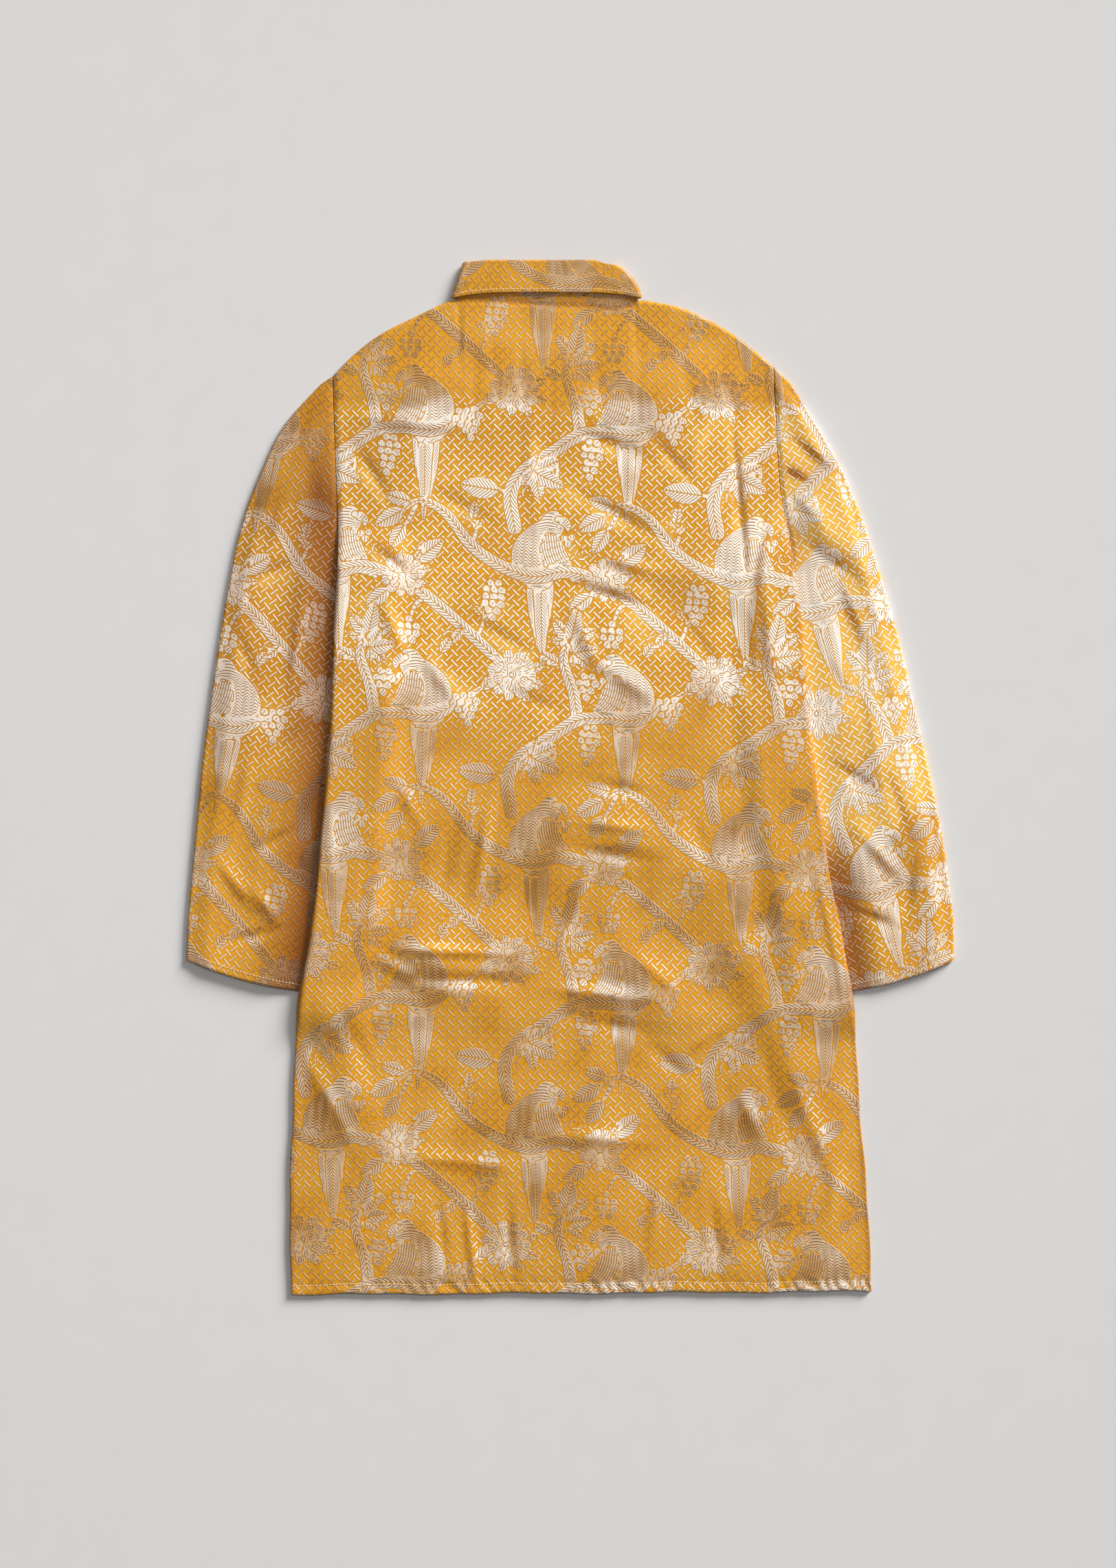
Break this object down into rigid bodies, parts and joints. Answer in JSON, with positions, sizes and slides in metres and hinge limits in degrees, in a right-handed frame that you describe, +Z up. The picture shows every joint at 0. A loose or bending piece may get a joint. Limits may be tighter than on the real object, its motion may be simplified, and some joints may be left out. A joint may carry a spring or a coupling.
{
  "type": "kurta",
  "caption": "Long-sleeved child's kurta in figured brocade with a standing band collar and side slits, laid flat with its back upward.",
  "frame": {"origin": "middle of the laid garment's bounding box, on the surface that it lies on", "axes": "+Z up from the surface, out of the garment's back; +Y from the hem towards the collar; +X to the right as seen from above"},
  "size_m": [0.5222, 0.704, 0.0097],
  "materials": {
    "brocade": "gold satin figured brocade",
    "button": "polished"
  },
  "bodies": {
    "root": {"back": "brocade", "front": "brocade", "sleeve_left": "brocade", "sleeve_right": "brocade", "collar": "brocade", "placket_outer": "brocade", "placket_under": "brocade", "button_1": "button", "button_2": "button", "button_3": "button", "button_4": "button"}
  },
  "joints": []
}
